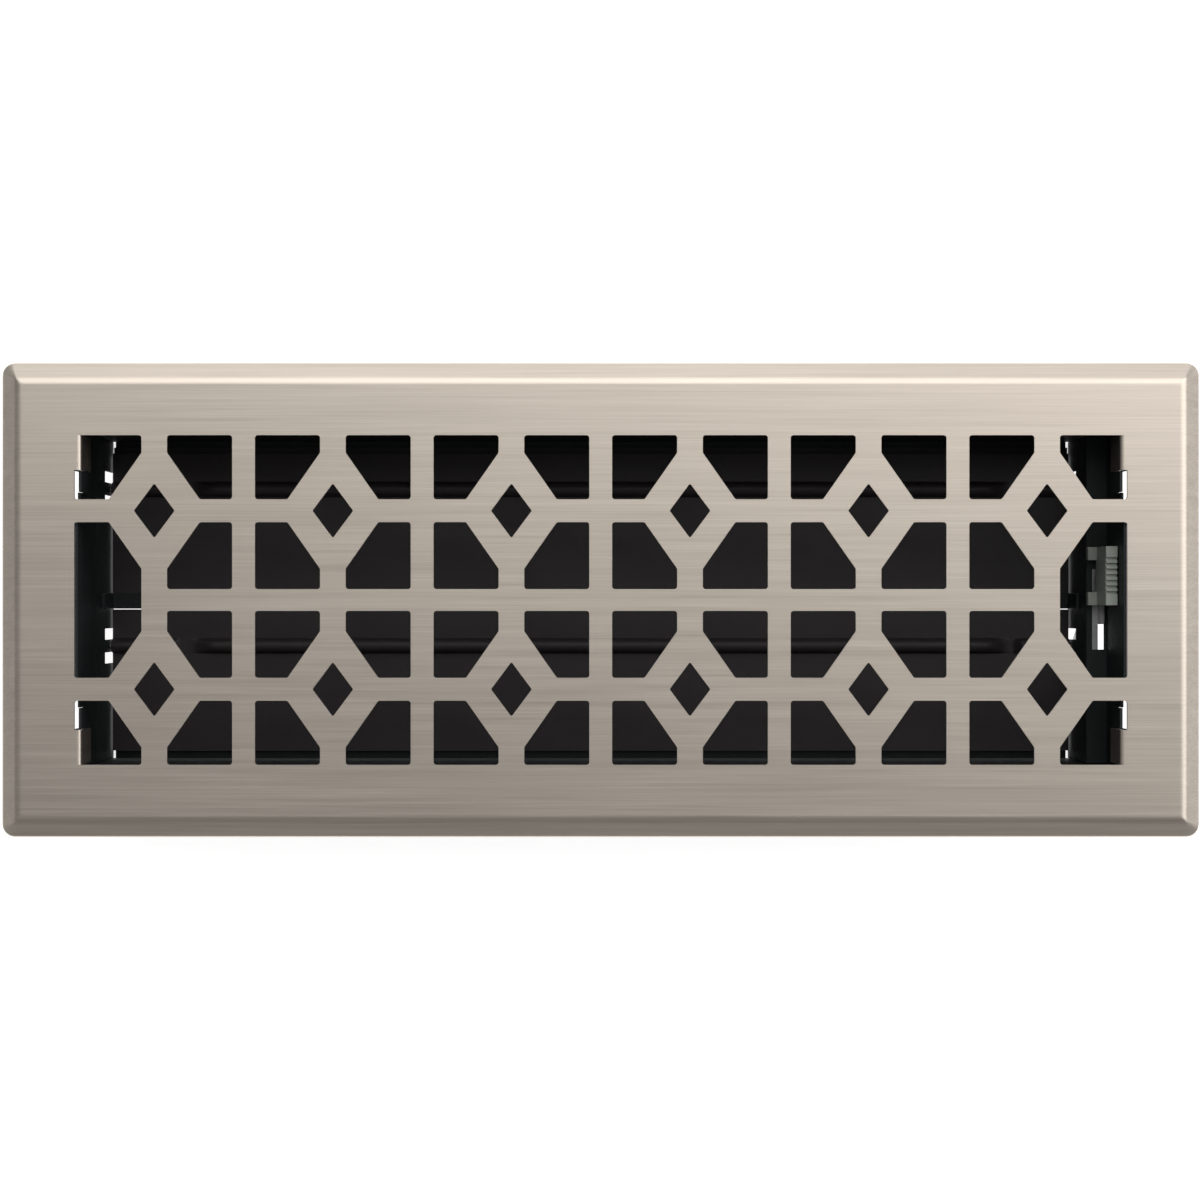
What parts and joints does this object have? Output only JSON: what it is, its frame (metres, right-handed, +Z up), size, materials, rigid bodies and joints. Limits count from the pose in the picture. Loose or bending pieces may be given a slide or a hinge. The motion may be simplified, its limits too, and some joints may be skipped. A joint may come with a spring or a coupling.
{
  "type": "floor register",
  "caption": "Stamped lattice faceplate over a sheet-metal damper box with two louvre blades, opened together by a ribbed slider.",
  "frame": {"origin": "under the middle of the register, at the height of the damper box's bottom edge", "axes": "+X along the register towards the slider end, +Y across it, +Z up out of the faceplate into the room"},
  "size_m": [0.3422, 0.1356, 0.053],
  "materials": {
    "nickel_plate": "brushed nickel plate, fine lines along the register",
    "black_box": "black powder coat, fine wrinkle",
    "black_blade": "black powder coat, satin, slightly brown",
    "plated_steel": "zinc-plated steel, satin",
    "grip_plastic": "dark grey moulded plastic, satin"
  },
  "bodies": {
    "housing": {"faceplate": "nickel_plate", "long_wall_back": "black_box", "long_wall_front": "black_box", "end_wall_left": "black_box", "end_wall_right": "black_box", "centre_bar": "black_box"},
    "back_blade": {"damper_blade_back": "black_blade", "pivot_pin_back_left": "plated_steel", "pivot_pin_back_right": "plated_steel", "crank_back": "plated_steel", "crank_pin_back": "plated_steel"},
    "front_blade": {"damper_blade_front": "black_blade", "pivot_pin_front_left": "plated_steel", "pivot_pin_front_right": "plated_steel", "crank_front": "plated_steel", "crank_pin_front": "plated_steel"},
    "slider": {"link_bar": "plated_steel", "slider_strip": "plated_steel", "link_rivet_front": "plated_steel", "link_rivet_back": "plated_steel", "slider_grip": "grip_plastic"}
  },
  "joints": [
    {"name": "back_blade_hinge", "type": "hinge", "parent": "housing", "child": "back_blade", "pos_m": [0, 0.0336, 0.0046], "axis": [1, 0, 0], "range_deg": [0, 80]},
    {"name": "front_blade_hinge", "type": "hinge", "parent": "housing", "child": "front_blade", "pos_m": [0, -0.0139, 0.0046], "axis": [1, 0, 0], "range_deg": [0, 80]},
    {"name": "slider_slide", "type": "slide", "parent": "housing", "child": "slider", "axis": [0, -1, 0], "range_m": [0, 0.0072]}
  ],
  "couplings": [
    {"joint": "back_blade_hinge", "follows": "slider_slide", "rad_per_m": 193.9},
    {"joint": "front_blade_hinge", "follows": "slider_slide", "rad_per_m": 193.9}
  ]
}
